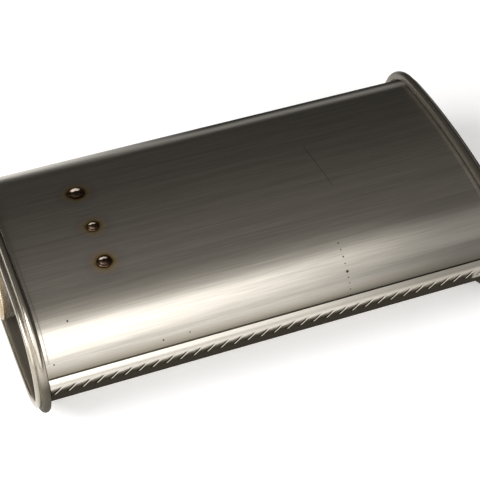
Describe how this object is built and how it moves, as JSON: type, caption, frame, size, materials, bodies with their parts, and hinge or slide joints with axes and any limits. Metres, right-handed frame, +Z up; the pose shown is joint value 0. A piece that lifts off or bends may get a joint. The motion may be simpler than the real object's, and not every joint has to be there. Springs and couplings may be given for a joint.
{
  "type": "muffler",
  "caption": "Oval straight-through exhaust muffler: lock-seamed shell, rolled end caps, offset in-line pipe stubs, slotted core and packing.",
  "frame": {"origin": "centre of the overall box, which is the middle of the oval body", "axes": "+X along the body from the inlet to the outlet, +Y away from the lock seam, +Z up across the body's smaller width, on the side with the plug welds"},
  "size_m": [0.392, 0.2202, 0.1112],
  "materials": {
    "shell_steel": "brushed along the body's length",
    "cap_steel": "drawn sheet, semi-bright",
    "pipe_steel": "drawn tube, heat-tinted near the weld",
    "weld_metal": "heat-tinted weld bead",
    "inner_steel": "mill finish",
    "steel_wool": "loose wool wrap",
    "glass_fibre": "matted fibre"
  },
  "bodies": {
    "root": {"outer_shell": "shell_steel", "inlet_end_cap": "cap_steel", "outlet_end_cap": "cap_steel", "inlet_pipe": "pipe_steel", "outlet_pipe": "pipe_steel", "inlet_neck_weld": "weld_metal", "outlet_neck_weld": "weld_metal", "inlet_baffle": "inner_steel", "outlet_baffle": "inner_steel", "core_tube": "inner_steel", "core_tack_welds": "weld_metal", "steel_wool_wrap": "steel_wool", "glass_fibre_packing": "glass_fibre", "plug_weld_far": "weld_metal", "plug_weld_middle": "weld_metal", "plug_weld_near": "weld_metal"}
  },
  "joints": []
}
